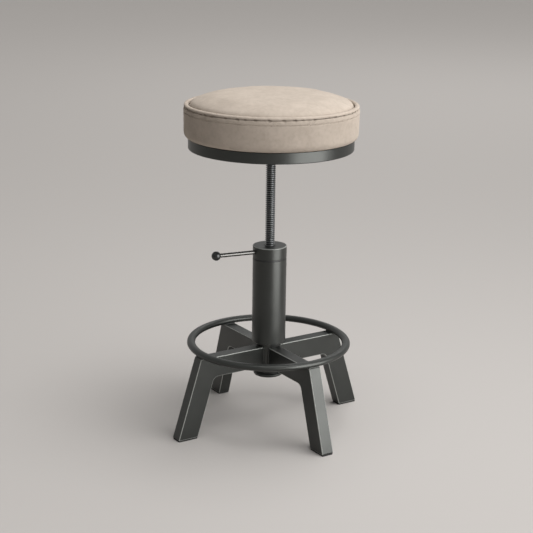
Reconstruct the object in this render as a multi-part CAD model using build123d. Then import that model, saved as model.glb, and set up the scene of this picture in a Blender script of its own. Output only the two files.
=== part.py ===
from build123d import *
import os
from math import atan, cos

# Adjustable screw stool: an upholstered round seat on a trapezoidal lead screw,
# which turns in a nut at the top of a steel column.  A lock collar with a ball lever
# clamps the screw.  Four splayed bar legs carry the column and a foot ring.
# Millimetres, +Z up, origin on the floor under the screw's axis, front towards -Y.

# Legs and feet
leg_width = 26.0
leg_depth = 42.0
leg_bevel = 1.2
leg_inside_radius = 13.0
arm_top_z = 167.0
shoulder_radius = 168.0
foot_radius = 221.0
foot_pad_thickness = 3.0
foot_pad_inset = 0.6
foot_pad_corner = 2.0
leg_angles = {"rear_right": 45, "rear_left": 135, "front_left": 225, "front_right": 315}

# Foot ring, a flat oval tube bent to a hoop
ring_shoulder_inset = 8.2
ring_section_width = 17.0
ring_section_height = 13.5
ring_wall = 2.0
ring_saddle_depth = 0.6

# Hub tube, which runs from the bottom flange to the nut inside the column
hub_diameter = 48.6
hub_wall = 3.2
hub_bottom_z = 104.0
hub_flange_diameter = 60.8
hub_flange_thickness = 6.0
hub_flange_round = 2.0
hub_plug_diameter = 24.0
hub_plug_head_diameter = 30.0
hub_plug_head_thickness = 2.5

# Column sleeve and its foot ring
column_diameter = 69.0
column_wall = 2.5
column_bevel = 0.8
column_bottom_z = 176.4
column_top_z = 352.5
column_foot_height = 10.0
column_lip_height = 3.0
column_lip_width = 1.4

# Nut and lock collar
nut_flange_thickness = 7.5
nut_length = 23.0
neck_diameter = 34.0
neck_height = 13.0
washer_thickness = 2.0
washer_recess = 1.2
collar_height = 24.8
collar_bevel = 1.0
collet_height = 9.0
collet_base_diameter = 31.0
collet_tip_diameter = 26.0
collet_slot_width = 1.6
collet_slot_count = 3
collet_slot_depth = 6.5
collar_screw_gap = 1.0

# Lever
lever_angle = 215.0
lever_diameter = 8.5
lever_hole_depth = 13.0
lever_bevel = 0.8
ball_diameter = 19.0
ball_centre_radius = 116.0
ball_bore_depth = 11.0

# Lead screw and the guide on its lower end
screw_diameter = 20.0
screw_bevel = 1.5
journal_diameter = 14.0
guide_height = 14.0
guide_groove_width = 2.0
guide_groove_depth = 0.8
guide_bevel = 0.8
rise_to_stop = 13.0
end_washer_diameter = 24.0
end_washer_thickness = 2.5
end_bolt_thread = 16.0
end_bolt_runout = 2.0

# Seat fastening, M8 hexagon screws into tee nuts
bolt_diameter = 8.0
bolt_head_across_flats = 13.0
bolt_head_height = 5.3
bolt_circle = 80.0
bolt_count = 4
bolt_engagement = 14.0
tee_nut_barrel_diameter = 10.2
tee_nut_flange_diameter = 22.0
tee_nut_flange_thickness = 1.5
flange_diameter = 110.0
flange_thickness = 6.0
flange_boss_diameter = 36.0
flange_boss_height = 16.0
flange_round = 3.0

# Seat pan, board and upholstery
pan_bottom_z = 578.4
pan_diameter = 330.2
pan_height = 22.0
pan_sheet = 2.5
pan_round = 1.6
seat_diameter = 350.0
cushion_height = 61.0
cushion_bottom_round = 12.0
cushion_top_round = 9.0
cushion_side_draw = 0.8
rim_height = 6.4
rim_width = 9.2
rim_inset = 2.2
rim_bottom_round = 1.2
rim_side_height = 2.9
rim_flare_slope = 0.35
pad_groove = 1.4
pad_seat_depth = 11.0
pad_edge_height = 3.6
pad_shoulder_width = 44.0
pad_shoulder_rise = 20.5
pad_crown_rise = 4.5

# Clearances, and how far a cut runs past the face it opens
weld_gap = 0.1
press_gap = 0.03
running_gap = 0.06
face_gap = 0.1
soft_gap = 0.3
hole_clearance = 1.0
collet_gap = 0.4
board_gap = 0.6
overcut = 1.0

# Values worked out from the driving dimensions
hub_radius = hub_diameter / 2
hub_bore = hub_radius - hub_wall
hub_tube_bottom = hub_bottom_z + hub_flange_thickness
hub_tube_top = column_top_z - nut_flange_thickness
column_radius = column_diameter / 2
column_bore = column_radius - column_wall
nut_bottom = hub_tube_top - nut_length
screw_radius = screw_diameter / 2
neck_radius = neck_diameter / 2
neck_top = column_top_z + neck_height
collar_bottom = column_top_z + washer_thickness + face_gap
collar_top = collar_bottom + collar_height
lever_radius = lever_diameter / 2
lever_z = collar_bottom + collar_height / 2
lever_root = column_radius - lever_hole_depth
guide_top = nut_bottom - rise_to_stop
guide_bottom = guide_top - guide_height
journal_radius = journal_diameter / 2
bolt_radius = bolt_diameter / 2
bolt_hole_radius = (bolt_diameter + hole_clearance) / 2
pan_radius = pan_diameter / 2
pan_plate_top = pan_bottom_z + pan_sheet
pan_rim_z = pan_bottom_z + pan_height
flange_bottom = pan_bottom_z - flange_thickness
seat_radius = seat_diameter / 2
cushion_bottom = pan_rim_z + soft_gap
seam_z = cushion_bottom + cushion_height
rim_outer = seat_radius - rim_inset
rim_inner = rim_outer - rim_width
rim_top = seam_z + soft_gap + rim_height
ring_radius = shoulder_radius - ring_shoulder_inset
ring_z = arm_top_z + ring_section_height / 2 - ring_saddle_depth
leg_slope = (foot_radius - shoulder_radius) / arm_top_z
leg_level_depth = leg_depth / cos(atan(leg_slope))
arm_bottom_z = arm_top_z - leg_depth


def rod(radius, z_low, z_high):
    """A plain round bar on the screw's axis."""
    low = (Align.CENTER, Align.CENTER, Align.MIN)
    return Pos(0, 0, z_low) * Cylinder(radius, z_high - z_low, align=low)


def tube(outer, inner, z_low, z_high):
    """A plain round tube on the screw's axis."""
    return rod(outer, z_low, z_high) - rod(inner, z_low - overcut, z_high + overcut)


def turned(edges):
    """A closed outline of (radius, height) edges turned about the screw's axis."""
    return revolve(Plane.XZ * make_face(edges), Axis.Z)


def turned_points(*points):
    """A straight-sided outline of (radius, height) points turned about the screw's axis."""
    return turned(Polyline(*points, close=True))


def around(piece, count, first_angle=0.0):
    """Copies of one piece, evenly spaced about the screw's axis."""
    return [Rot(0, 0, first_angle + 360 / count * i) * piece for i in range(count)]


def leg_outer(z):
    """Radius of a leg's outer face at a height."""
    return foot_radius - leg_slope * z


def leg_inner(z):
    """Radius of a leg's inner face at a height."""
    return leg_outer(z) - leg_level_depth


def ring_section(grow=0.0):
    """The foot ring's oval section, grown all round by a clearance, where the ring runs."""
    oval = Ellipse(ring_section_width / 2 + grow, ring_section_height / 2 + grow)
    return Plane.XZ * Pos(ring_radius, ring_z) * oval


def leg(angle):
    """An arm and a splayed leg in one elbow of flat bar, notched for the hub and the ring."""
    corner = (leg_inner(arm_bottom_z), arm_bottom_z)
    outline = make_face(Polyline(
        (0, arm_top_z),
        (shoulder_radius, arm_top_z),
        (leg_outer(foot_pad_thickness), foot_pad_thickness),
        (leg_inner(foot_pad_thickness), foot_pad_thickness),
        corner,
        (0, arm_bottom_z),
        close=True,
    ))
    inside_corner = outline.vertices().sort_by_distance(corner)[0]
    outline = fillet(inside_corner, leg_inside_radius)
    elbow = extrude(Plane.XZ * outline, amount=leg_width / 2, both=True)
    elbow = chamfer(elbow.faces().filter_by(Axis.Y).edges(), leg_bevel)
    elbow -= rod(hub_radius + weld_gap, 0, column_top_z)
    elbow -= revolve(ring_section(weld_gap), Axis.Z)
    return Rot(0, 0, angle) * elbow


def foot_pad(angle):
    """A rubber pad under one foot, a little smaller than the bar's end."""
    low = leg_inner(foot_pad_thickness) + foot_pad_inset
    high = leg_outer(foot_pad_thickness) - foot_pad_inset
    outline = RectangleRounded(high - low, leg_width - 2 * foot_pad_inset, foot_pad_corner)
    pad = extrude(Pos((low + high) / 2, 0) * outline, amount=foot_pad_thickness)
    return Rot(0, 0, angle) * pad


def foot_ring():
    """The foot ring, a hoop of oval tube."""
    return revolve(ring_section() - ring_section(-ring_wall), Axis.Z)


def hub_tube():
    """The tube that the arms are welded to and the guide slides in."""
    return tube(hub_radius, hub_bore, hub_tube_bottom, hub_tube_top)


def hub_flange():
    """The round flange that closes the tube's lower end, bored for the plug."""
    disc = rod(hub_flange_diameter / 2, hub_bottom_z, hub_tube_bottom)
    disc = fillet(disc.edges(), hub_flange_round)
    return disc - rod(hub_plug_diameter / 2 + press_gap, hub_bottom_z - overcut, hub_tube_bottom + overcut)


def hub_plug():
    """The plastic plug in the flange."""
    head_bottom = hub_bottom_z - hub_plug_head_thickness
    head = rod(hub_plug_head_diameter / 2, head_bottom, hub_bottom_z)
    head = fillet(head.edges().sort_by(Axis.Z)[0], hub_plug_head_thickness / 2)
    return head + rod(hub_plug_diameter / 2, hub_bottom_z, hub_tube_bottom)


def column_foot():
    """The stepped ring that centres the column sleeve on the hub tube."""
    bore = hub_radius + press_gap
    lip = hub_radius + column_lip_width
    seat = column_bore - press_gap
    return turned_points(
        (bore, column_bottom_z - column_lip_height),
        (lip, column_bottom_z - column_lip_height),
        (lip, column_bottom_z),
        (seat, column_bottom_z),
        (seat, column_bottom_z + column_foot_height),
        (bore, column_bottom_z + column_foot_height),
    )


def column_tube():
    """The column's outer sleeve, with its end edges broken."""
    outside = chamfer(rod(column_radius, column_bottom_z, column_top_z).edges(), column_bevel)
    return outside - rod(column_bore, column_bottom_z - overcut, column_top_z + overcut)


def column_nut():
    """The flanged nut of the lead screw: it seats on the hub tube, and its neck carries the collar."""
    bore = screw_radius + running_gap
    body = hub_bore - press_gap
    seat = column_bore - press_gap
    return turned_points(
        (bore, nut_bottom),
        (body, nut_bottom),
        (body, hub_tube_top),
        (seat, hub_tube_top),
        (seat, column_top_z),
        (neck_radius, column_top_z),
        (neck_radius, neck_top),
        (bore, neck_top),
    )


def thrust_washer():
    """The washer that the lock collar turns on, set back to leave a dark groove."""
    washer_top = column_top_z + washer_thickness
    return tube(column_radius - washer_recess, neck_radius + press_gap, column_top_z, washer_top)


def collet():
    """The split taper sleeve that the collar squeezes onto the screw."""
    low = neck_top
    high = neck_top + collet_height
    bore = screw_radius + running_gap
    sleeve = turned_points(
        (bore, low),
        (collet_base_diameter / 2, low),
        (collet_tip_diameter / 2, high),
        (bore, high),
    )
    slot_place = Pos(collet_base_diameter / 2, 0, high - collet_slot_depth / 2)
    slot = slot_place * Box(collet_base_diameter, collet_slot_width, collet_slot_depth)
    for cut in around(slot, collet_slot_count):
        sleeve -= cut
    return sleeve


def lever_frame():
    """The lever's frame: its Z runs outwards along the rod from the screw's axis."""
    heading = Vector(1, 0, 0).rotate(Axis.Z, lever_angle)
    return Plane(origin=(0, 0, lever_z), z_dir=heading)


def lever_bar(radius, start, end):
    """A round bar along the lever, between two radii from the screw's axis."""
    low = (Align.CENTER, Align.CENTER, Align.MIN)
    return lever_frame() * Pos(0, 0, start) * Cylinder(radius, end - start, align=low)


def lock_collar():
    """The knob that turns on the nut's neck, with a taper for the collet and a lever hole."""
    outside = rod(column_radius, collar_bottom, collar_top)
    outside = chamfer(outside.edges(), collar_bevel)
    bore = neck_radius + running_gap
    taper_base = collet_base_diameter / 2 + collet_gap
    taper_tip = collet_tip_diameter / 2 + collet_gap
    mouth = screw_radius + collar_screw_gap
    taper_low = neck_top + face_gap
    taper_high = neck_top + collet_height + face_gap
    inside = turned_points(
        (0, collar_bottom - overcut),
        (bore, collar_bottom - overcut),
        (bore, taper_low),
        (taper_base, taper_low),
        (taper_tip, taper_high),
        (mouth, taper_high),
        (mouth, collar_top + overcut),
        (0, collar_top + overcut),
    )
    return outside - inside - lever_bar(lever_radius + press_gap, lever_root, column_radius + overcut)


def lever_rod():
    """The lever's round rod, from the collar into the ball."""
    tip = ball_centre_radius - ball_diameter / 2 + ball_bore_depth
    bar = lever_bar(lever_radius, lever_root, tip)
    return chamfer(bar.edges().filter_by(GeomType.CIRCLE), lever_bevel)


def ball_knob():
    """The ball on the lever's end."""
    ball = lever_frame() * Pos(0, 0, ball_centre_radius) * Sphere(ball_diameter / 2)
    mouth = ball_centre_radius - ball_diameter / 2
    return ball - lever_bar(lever_radius + press_gap, mouth - overcut, mouth + ball_bore_depth)


def lead_screw():
    """The lead screw at its outside diameter, with a journal for the guide on its lower end."""
    tapped = bolt_radius + press_gap
    hole_top = guide_bottom + end_bolt_thread + end_bolt_runout
    return turned_points(
        (tapped, guide_bottom),
        (journal_radius, guide_bottom),
        (journal_radius, guide_top + face_gap),
        (screw_radius - screw_bevel, guide_top + face_gap),
        (screw_radius, guide_top + face_gap + screw_bevel),
        (screw_radius, pan_bottom_z),
        (0, pan_bottom_z),
        (0, hole_top),
        (tapped, hole_top),
    )


def guide_bush():
    """The plastic guide on the screw's lower end, with two grease grooves."""
    outer = hub_bore - running_gap
    bore = journal_radius + running_gap
    bush = rod(outer, guide_bottom + face_gap, guide_top)
    bush = chamfer(bush.edges(), guide_bevel)
    bush -= rod(bore, guide_bottom - overcut, guide_top + overcut)
    for share in (1 / 3, 2 / 3):
        middle = guide_bottom + guide_height * share
        low = middle - guide_groove_width / 2
        bush -= tube(outer + overcut, outer - guide_groove_depth, low, low + guide_groove_width)
    return bush


def end_washer():
    """The washer that keeps the guide on the screw."""
    low = guide_bottom - end_washer_thickness
    return tube(end_washer_diameter / 2, bolt_hole_radius, low, guide_bottom)


def hex_bolt(head_top, tip):
    """A hexagon screw that points up: its head hangs below one height, its tip ends at another."""
    hexagon = RegularPolygon(bolt_head_across_flats / 2, 6, major_radius=False)
    head = Pos(0, 0, head_top - bolt_head_height) * extrude(hexagon, amount=bolt_head_height)
    return head + rod(bolt_radius, head_top, tip)


def end_bolt():
    """The screw that holds the washer to the lead screw's end."""
    head_top = guide_bottom - end_washer_thickness
    return hex_bolt(head_top, guide_bottom + end_bolt_thread)


def bolt_holes(radius, z_low, z_high):
    """Round holes for the seat screws through a layer of the seat."""
    return around(Pos(bolt_circle / 2, 0) * rod(radius, z_low, z_high), bolt_count)


def mounting_flange():
    """The bossed flange on the screw's top that the seat is bolted to."""
    boss_radius = flange_boss_diameter / 2
    boss_bottom = flange_bottom - flange_boss_height
    plate = rod(flange_diameter / 2, flange_bottom, pan_bottom_z)
    flange = plate + rod(boss_radius, boss_bottom, flange_bottom)
    root = flange.edges().filter_by(GeomType.CIRCLE).filter_by_position(
        Axis.Z, flange_bottom - weld_gap, flange_bottom + weld_gap).sort_by(SortBy.RADIUS)[0]
    flange = fillet(root, flange_round)
    flange -= rod(screw_radius + press_gap, boss_bottom - overcut, pan_bottom_z + overcut)
    for hole in bolt_holes(bolt_hole_radius, flange_bottom - overcut, pan_bottom_z + overcut):
        flange -= hole
    return flange


def seat_bolts():
    """The screws that hold the seat to the flange, as one group."""
    bolt = Pos(bolt_circle / 2, 0) * hex_bolt(flange_bottom, pan_plate_top + bolt_engagement)
    return around(bolt, bolt_count)


def tee_nuts():
    """The tee nuts let into the board's top, as one group."""
    flange_low = pan_rim_z - tee_nut_flange_thickness
    bore = bolt_radius + press_gap
    barrel = tube(tee_nut_barrel_diameter / 2, bore, pan_plate_top + bolt_diameter, flange_low)
    head = tube(tee_nut_flange_diameter / 2, bore, flange_low, pan_rim_z)
    return around(Pos(bolt_circle / 2, 0) * (barrel + head), bolt_count)


def seat_pan():
    """The pressed steel pan under the seat, a shallow tray with its rim up."""
    outside = rod(pan_radius, pan_bottom_z, pan_rim_z)
    outside = fillet(outside.edges().sort_by(Axis.Z)[0], pan_round)
    pan = outside - rod(pan_radius - pan_sheet, pan_plate_top, pan_rim_z + overcut)
    for hole in bolt_holes(bolt_hole_radius, pan_bottom_z - overcut, pan_plate_top + overcut):
        pan -= hole
    return pan


def seat_board():
    """The plywood board in the pan, bored and recessed for the tee nuts."""
    board = rod(pan_radius - pan_sheet - board_gap, pan_plate_top, pan_rim_z)
    recess_low = pan_rim_z - tee_nut_flange_thickness
    barrel_hole = tee_nut_barrel_diameter / 2 + press_gap
    for hole in bolt_holes(barrel_hole, pan_plate_top - overcut, pan_rim_z + overcut):
        board -= hole
    for hole in bolt_holes(tee_nut_flange_diameter / 2 + press_gap, recess_low, pan_rim_z + overcut):
        board -= hole
    return board


def seat_cushion():
    """The boxed cushion: its band swells over the pan and draws in to the seam under the rim."""
    floor_z = rim_top - pad_seat_depth
    bottom_in = seat_radius - cushion_bottom_round
    side_low = cushion_bottom + cushion_bottom_round
    side_high = seam_z - cushion_top_round
    side_middle = (side_low + side_high) / 2
    seam_radius = rim_outer - rim_bottom_round
    return turned([
        Line((0, cushion_bottom), (bottom_in, cushion_bottom)),
        TangentArc((bottom_in, cushion_bottom), (seat_radius - cushion_side_draw, side_low), tangent=(1, 0)),
        ThreePointArc(
            (seat_radius - cushion_side_draw, side_low),
            (seat_radius, side_middle),
            (seat_radius - cushion_side_draw, side_high),
        ),
        TangentArc((seat_radius - cushion_side_draw, side_high), (seam_radius, seam_z), tangent=(0, 1)),
        Line((seam_radius, seam_z), (rim_inner, seam_z)),
        Line((rim_inner, seam_z), (rim_inner, floor_z)),
        Line((rim_inner, floor_z), (0, floor_z)),
        Line((0, floor_z), (0, cushion_bottom)),
    ])


def rim_welt():
    """The rolled rim round the top pad: a padded strip, flat below and round above."""
    low = seam_z + soft_gap
    inset = rim_outer - rim_bottom_round
    crown_middle = (rim_outer + rim_inner) / 2
    side_z = low + rim_side_height
    return turned([
        Line((rim_inner, low), (inset, low)),
        TangentArc((inset, low), (rim_outer, side_z), tangent=(1, rim_flare_slope)),
        ThreePointArc((rim_outer, side_z), (crown_middle, rim_top), (rim_inner, side_z)),
        Line((rim_inner, side_z), (rim_inner, low)),
    ])


def seat_top_pad():
    """The domed top pad, which drops into the well inside the rim."""
    low = rim_top - pad_seat_depth + soft_gap
    edge_radius = rim_inner - pad_groove
    edge_z = rim_top - pad_edge_height
    shoulder = edge_radius - pad_shoulder_width
    shoulder_z = edge_z + pad_shoulder_rise
    crown_z = shoulder_z + pad_crown_rise
    fall = 2 * pad_crown_rise / shoulder
    return turned([
        Line((0, low), (edge_radius, low)),
        Line((edge_radius, low), (edge_radius, edge_z)),
        TangentArc((shoulder, shoulder_z), (edge_radius, edge_z), tangent=(1, -fall)),
        TangentArc((0, crown_z), (shoulder, shoulder_z), tangent=(1, 0)),
        Line((0, crown_z), (0, low)),
    ])


def all_pieces():
    """Every piece of the stool by name, from the floor up."""
    pieces = {}
    for place, angle in leg_angles.items():
        pieces[f"leg_{place}"] = leg(angle)
        pieces[f"foot_pad_{place}"] = foot_pad(angle)
    makers = (
        foot_ring, hub_tube, hub_flange, hub_plug, column_foot, column_tube, column_nut,
        thrust_washer, collet, lock_collar, lever_rod, ball_knob, guide_bush, end_washer,
        end_bolt, lead_screw, mounting_flange, seat_bolts, tee_nuts, seat_pan, seat_board,
        seat_cushion, rim_welt, seat_top_pad,
    )
    for make in makers:
        pieces[make.__name__] = make()
    return pieces


os.makedirs("parts", exist_ok=True)
for name, piece in all_pieces().items():
    shape = Compound(children=piece) if isinstance(piece, list) else piece
    export_step(shape, f"parts/{name}.step")

lowest_bolt_z = guide_bottom - end_washer_thickness - bolt_head_height
boss_travel = flange_bottom - flange_boss_height - collar_top
print("room below the screw's end, mm:", round(lowest_bolt_z - hub_tube_bottom, 2))
print("room between boss and collar, mm:", round(boss_travel, 2))
print("room to the upper stop, mm:", round(rise_to_stop, 2))
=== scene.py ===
import bmesh
import bpy
import numpy as np
from mathutils import Matrix, Vector


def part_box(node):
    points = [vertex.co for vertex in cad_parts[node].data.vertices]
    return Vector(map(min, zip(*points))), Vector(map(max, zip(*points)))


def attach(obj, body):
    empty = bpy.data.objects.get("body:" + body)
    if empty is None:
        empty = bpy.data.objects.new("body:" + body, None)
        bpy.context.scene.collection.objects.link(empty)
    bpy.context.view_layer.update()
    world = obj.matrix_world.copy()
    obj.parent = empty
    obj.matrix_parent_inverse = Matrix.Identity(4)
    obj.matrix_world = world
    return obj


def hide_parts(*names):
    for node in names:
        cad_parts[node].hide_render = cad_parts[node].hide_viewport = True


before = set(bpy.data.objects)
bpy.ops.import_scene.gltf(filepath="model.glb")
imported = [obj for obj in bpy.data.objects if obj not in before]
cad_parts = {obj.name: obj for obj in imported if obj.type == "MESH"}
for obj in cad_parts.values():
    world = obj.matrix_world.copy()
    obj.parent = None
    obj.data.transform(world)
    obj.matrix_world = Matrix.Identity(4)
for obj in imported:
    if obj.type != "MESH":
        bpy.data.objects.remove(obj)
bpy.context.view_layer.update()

# Units
MM = 0.001
TURN = 2 * np.pi

# Places round the screw's axis, which stands on the world's origin
LEG_ANGLES = {"rear_right": 45, "rear_left": 135, "front_left": 225, "front_right": 315}

# Bar of the legs
LEG_WIDTH = 26 * MM
LEG_DEPTH = 42 * MM
LEG_EDGE = 1.5 * MM
LEG_CORNER = 1.7 * MM
LEG_BEND = 13 * MM
SHOULDER_RADIUS = 168 * MM
FOOT_RADIUS = 221 * MM

# Foot ring and welds
RING_WIDTH = 17 * MM
RING_WELD_INSET = 4.2 * MM
BEAD_RADIUS = 2.1 * MM
BEAD_RIPPLE = 3.2 * MM
BEAD_SCALES = 0.12
BEAD_SIDES = 10

# Column and lock collar
HUB_WALL = 3.2 * MM
PLUG_RADIUS = 12 * MM
LIP_WIDTH = 1.4 * MM
COLUMN_WALL = 2.5 * MM
TUBE_EDGE = 0.9 * MM
BORE_EDGE = 0.3 * MM
FLANGE_EDGE = 2 * MM
NECK_RADIUS = 17.06 * MM
COLLAR_MOUTH_GAP = 1 * MM
COLLAR_TOP_WALL = 3 * MM
COLLAR_TAPER = 2 * MM
COLLAR_TOP_EDGE = 1.6 * MM
COLLAR_LOW_EDGE = 1.2 * MM
COLLAR_NECK_EDGE = 0.6 * MM
# Painted highlight round the collar's top edge: its share and width
COLLAR_HIGHLIGHT = 0.7
COLLAR_HIGHLIGHT_WIDTH = 1.5 * MM

# Lever
LEVER_ANGLE = 215
LEVER_DIAMETER = 8.5 * MM
LEVER_EDGE = 0.8 * MM
LEVER_START = 21.5 * MM
BALL_DIAMETER = 19 * MM
BALL_PLACE = 116 * MM
BALL_BORE = 11 * MM

# Lead screw, trapezoidal thread
THREAD_PITCH = 4 * MM
THREAD_DEPTH = 2.6 * MM
JOURNAL_DIAMETER = 14 * MM
JOURNAL_EDGE = 0.6 * MM
GUIDE_HEIGHT = 14 * MM

# Seat pan and its flange
PAN_SHEET = 2.5 * MM
PAN_EDGE = 2.2 * MM
PAN_LIP_EDGE = 0.6 * MM
PAN_INSIDE_EDGE = 1 * MM
SEAT_FLANGE = 6 * MM
SEAT_FLANGE_EDGE = 1.2 * MM
BOSS_RADIUS = 18 * MM
BOSS_FILLET = 3 * MM

# Rim and the seam under it
RIM_WIDTH = 9.2 * MM
RIM_BELOW = 0.62
RIM_PLAY = 0.2 * MM
RIM_RIPPLE = 0.35 * MM
RIM_SWAY = 0.3 * MM
RIM_LIFT = 1.8 * MM
SEAM_INSET = 1.2 * MM
SEAM_GAPE = 2 * MM
SEAM_REACH = 2.2 * MM

# Cushion's band
BAND_SLACK = 1.6 * MM
BAND_SWELL = 2.4 * MM
BAND_BOTTOM = 12 * MM
BAND_TOP = 8 * MM
BAND_WELL = 4 * MM
BAND_SAG = 0.35 * MM
PUCKER_DEPTH = 0.6 * MM
PUCKER_PLACE = 4.5 * MM
PUCKER_REACH = 3.6 * MM
PUCKER_TAIL = 0.3 * MM
PUCKER_FADE = 7 * MM

# Stitches on the band
STITCH_DROP = 9 * MM
STITCH_LENGTH = 4.2 * MM
STITCH_COUNT = 190
STITCH_INSET = 1.9 * MM
STITCH_GROOVE = 0.9 * MM
THREAD_WIDTH = 0.9 * MM

# Top pad
PAD_GRID = 89
PAD_POWER = 3.5
PAD_EDGE_DROP = 3.6 * MM
PAD_SLACK = 1.2 * MM
PAD_SMOOTHING = 8
PAD_GATHER = 0.3 * MM
PAD_GATHER_FADE = 9 * MM
PAD_DIP = 0.35 * MM
PAD_DIP_ACROSS = 47 * MM
PAD_DIP_ALONG = 39 * MM

# Studio, with angles in degrees and the lens in millimetres
FLOOR_SIZE = 30.0
BACKDROP_LEVEL = 0.5
CAMERA_PLACE = (0.5437, -2.5890, 1.0888)
CAMERA_HEADING = 11.993
CAMERA_DOWN = 15.93
CAMERA_ROLL = 0.742
CAMERA_LENS = 91.30
CAMERA_SENSOR = 36


def points_of(piece):
    """The mesh's vertices as one array of rows x, y, z."""
    flat = np.empty(3 * len(piece.data.vertices))
    piece.data.vertices.foreach_get("co", flat)
    return flat.reshape(-1, 3)


def put_points(piece, points):
    """Writes an array of rows x, y, z back to the mesh's vertices."""
    piece.data.vertices.foreach_set("co", np.ascontiguousarray(points).ravel())
    piece.data.update()


def grid_faces(shape, start=0, closed_rows=False, closed_columns=False):
    """Four-sided faces between neighbours of a grid of rows and columns, joined up where it closes.

    A face goes along its row first and then to the next row, so it faces (along the row) x (to the
    next row).
    """
    index = start + np.arange(shape[0] * shape[1]).reshape(shape[:2])
    if closed_rows:
        index = np.vstack((index, index[:1]))
    if closed_columns:
        index = np.hstack((index, index[:, :1]))
    return quads(index)


def quads(index):
    """Four-sided faces between neighbours of a grid of vertex numbers."""
    sides = (index[:-1, :-1], index[:-1, 1:], index[1:, 1:], index[1:, :-1])
    return np.stack(sides, axis=-1).reshape(-1, 4)


def mesh_piece(name, points, faces, close_holes=False):
    """A smooth-shaded object of these points and faces, with points that coincide made one."""
    mesh = bpy.data.meshes.new(name)
    mesh.from_pydata(points.reshape(-1, 3).tolist(), [], faces)
    shape = bmesh.new()
    shape.from_mesh(mesh)
    bmesh.ops.remove_doubles(shape, verts=shape.verts, dist=0.002 * MM)
    if close_holes:
        bmesh.ops.holes_fill(shape, edges=shape.edges)
    shape.to_mesh(mesh)
    shape.free()
    mesh.shade_smooth()
    piece = bpy.data.objects.new(name, mesh)
    bpy.context.collection.objects.link(piece)
    return piece


def flat_faces_stay_flat(piece):
    """Lets large flat faces set the shading of the small rounded edges between them."""
    weigh = piece.modifiers.new("weighted_shading", "WEIGHTED_NORMAL")
    weigh.mode = "FACE_AREA"
    weigh.weight = 50
    return piece


def grids_piece(name, grids, **closed):
    """One object made of several grids of the same topology."""
    starts = np.cumsum([0] + [grid.shape[0] * grid.shape[1] for grid in grids[:-1]])
    faces = [grid_faces(grid.shape, start, **closed) for grid, start in zip(grids, starts)]
    points = np.concatenate([grid.reshape(-1, 3) for grid in grids])
    return mesh_piece(name, points, np.concatenate(faces).tolist())


def rounded(corners, steps=5):
    """An outline with its corners rounded, from corners of (across, up, radius).

    An arc's centre lies on its corner's bisector, radius / sin(half angle) from the corner.  Its points
    turn evenly from one tangent point to the other: (sin((1-s)w) start + sin(s w) end) / sin(w).
    """
    table = np.array(corners, dtype=float)
    place, radius = table[:, :2], table[:, 2:]
    back = np.roll(place, 1, axis=0) - place
    ahead = np.roll(place, -1, axis=0) - place
    back /= np.linalg.norm(back, axis=1, keepdims=True)
    ahead /= np.linalg.norm(ahead, axis=1, keepdims=True)
    half = np.arccos(np.clip((back * ahead).sum(1, keepdims=True), -1, 1)) / 2
    middle = back + ahead
    middle /= np.linalg.norm(middle, axis=1, keepdims=True)
    centre = place + middle * radius / np.sin(half)
    start = place + back * radius / np.tan(half) - centre
    end = place + ahead * radius / np.tan(half) - centre
    sweep = np.pi - 2 * half
    part = np.linspace(0, 1, steps + 1)
    arc = (
        np.sin((1 - part) * sweep)[:, :, None] * start[:, None]
        + np.sin(part * sweep)[:, :, None] * end[:, None]
    ) / np.sin(sweep)[:, :, None]
    return (centre[:, None] + arc).reshape(-1, 2)


def spun(outline, segments=128):
    """A grid of an outline turned about Z: (across, up) becomes (across cos a, across sin a, up)."""
    angle = np.arange(segments) * TURN / segments
    across, up = outline[:, :1], outline[:, 1:]
    return np.stack((across * np.cos(angle), across * np.sin(angle), up + 0 * angle), axis=-1)


def turned_piece(name, corners, bored=True, segments=128):
    """A turned piece: its rounded outline, walked anticlockwise, spun about the screw's axis."""
    grid = spun(rounded(corners), segments)
    return flat_faces_stay_flat(grids_piece(name, [grid], closed_rows=bored, closed_columns=True))


def aimed(points, origin, angle):
    """Points whose Z is turned to lie level at an angle about the axis, starting at an origin."""
    turn = Matrix.Rotation(np.radians(angle), 3, "Z") @ Matrix.Rotation(np.pi / 2, 3, "Y")
    return points @ np.array(turn).T + np.array(origin)


def swung(points, angle):
    """Points turned about the screw's axis by an angle in degrees."""
    return points @ np.array(Matrix.Rotation(np.radians(angle), 3, "Z")).T


def round_sizes(node):
    """Radius, lowest and highest height of a round CAD node on the screw's axis."""
    low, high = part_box(node)
    return (high.x - low.x) / 2, low.z, high.z


def linear(hex_colour):
    """An sRGB hex colour as linear red, green, blue and full alpha."""
    parts = np.array([int(hex_colour[i:i + 2], 16) for i in (1, 3, 5)]) / 255
    light = np.where(parts <= 0.04045, parts / 12.92, ((parts + 0.055) / 1.055) ** 2.4)
    return (*light.tolist(), 1.0)


def node(tree, kind, inputs=None, **settings):
    """Adds a node: settings are its own properties, inputs are values or the sockets that feed them."""
    made = tree.nodes.new(kind)
    for name, value in settings.items():
        setattr(made, name, value)
    for name, value in (inputs or {}).items():
        if isinstance(value, bpy.types.NodeSocket):
            tree.links.new(value, made.inputs[name])
        else:
            made.inputs[name].default_value = value
    return made


def material(name, **sockets):
    """A new material and its node tree, with the given sockets of its Principled shader set."""
    made = bpy.data.materials.new(name)
    made.use_nodes = True
    tree = made.node_tree
    shader = tree.nodes["Principled BSDF"]
    for socket, value in sockets.items():
        shader.inputs[socket.replace("_", " ")].default_value = value
    return made, tree, shader


def per_metre(size_in_mm):
    """The noise scale whose features are about this many millimetres wide."""
    return 1 / (size_in_mm * MM)


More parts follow.
